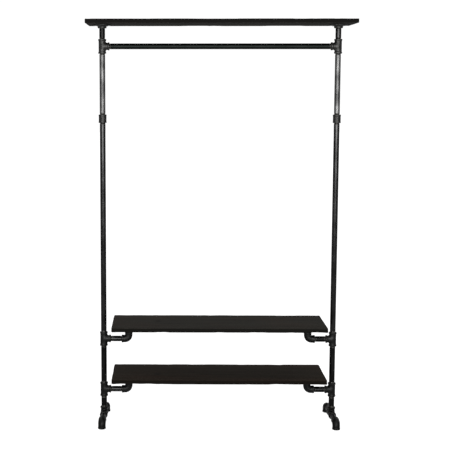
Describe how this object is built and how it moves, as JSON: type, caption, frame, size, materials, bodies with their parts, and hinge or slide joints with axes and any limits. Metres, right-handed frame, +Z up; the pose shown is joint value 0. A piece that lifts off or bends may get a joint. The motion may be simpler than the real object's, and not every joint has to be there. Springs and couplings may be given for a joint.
{
  "type": "clothes rack",
  "caption": "Freestanding clothes rack of threaded black pipe: hanging rail between two uprights, a top board and low shelf boards on pipe arms, feet of downturned elbows.",
  "frame": {"origin": "on the floor, midway between the four feet", "axes": "+Z up, +X along the hanging rail to the rack's right seen from the front, +Y from front to back"},
  "size_m": [1.23, 0.2998, 1.8944],
  "materials": {
    "stained_wood": "dark espresso stain, dull satin, rough-sawn edges",
    "iron_pipe": "black lacquered steel pipe, satin, handled bright in places",
    "cast_fitting": "black malleable iron, finely cast surface",
    "screw_steel": "blackened steel"
  },
  "bodies": {
    "root": {"top_board": "stained_wood", "upper_shelf_board": "stained_wood", "lower_shelf_board": "stained_wood", "hanging_rail": "iron_pipe", "left_foot_tee": "cast_fitting", "left_front_foot_nipple": "iron_pipe", "left_rear_foot_nipple": "iron_pipe", "left_front_foot_elbow": "cast_fitting", "left_rear_foot_elbow": "cast_fitting", "left_base_nipple": "iron_pipe", "left_lower_shelf_tee": "cast_fitting", "left_spacer_pipe": "iron_pipe", "left_upper_shelf_tee": "cast_fitting", "left_main_pipe": "iron_pipe", "left_coupling": "cast_fitting", "left_upper_pipe": "iron_pipe", "left_rail_tee": "cast_fitting", "left_top_nipple": "iron_pipe", "left_top_flange": "cast_fitting", "left_lower_arm_nipple": "iron_pipe", "left_lower_arm_elbow": "cast_fitting", "left_lower_riser": "iron_pipe", "left_lower_shelf_flange": "cast_fitting", "left_upper_arm_nipple": "iron_pipe", "left_upper_arm_elbow": "cast_fitting", "left_upper_riser": "iron_pipe", "left_upper_shelf_flange": "cast_fitting", "right_foot_tee": "cast_fitting", "right_front_foot_nipple": "iron_pipe", "right_rear_foot_nipple": "iron_pipe", "right_front_foot_elbow": "cast_fitting", "right_rear_foot_elbow": "cast_fitting", "right_base_nipple": "iron_pipe", "right_lower_shelf_tee": "cast_fitting", "right_spacer_pipe": "iron_pipe", "right_upper_shelf_tee": "cast_fitting", "right_main_pipe": "iron_pipe", "right_coupling": "cast_fitting", "right_upper_pipe": "iron_pipe", "right_rail_tee": "cast_fitting", "right_top_nipple": "iron_pipe", "right_top_flange": "cast_fitting", "right_lower_arm_nipple": "iron_pipe", "right_lower_arm_elbow": "cast_fitting", "right_lower_riser": "iron_pipe", "right_lower_shelf_flange": "cast_fitting", "right_upper_arm_nipple": "iron_pipe", "right_upper_arm_elbow": "cast_fitting", "right_upper_riser": "iron_pipe", "right_upper_shelf_flange": "cast_fitting", "top_board_screws": "screw_steel", "upper_shelf_screws": "screw_steel", "lower_shelf_screws": "screw_steel"}
  },
  "joints": []
}
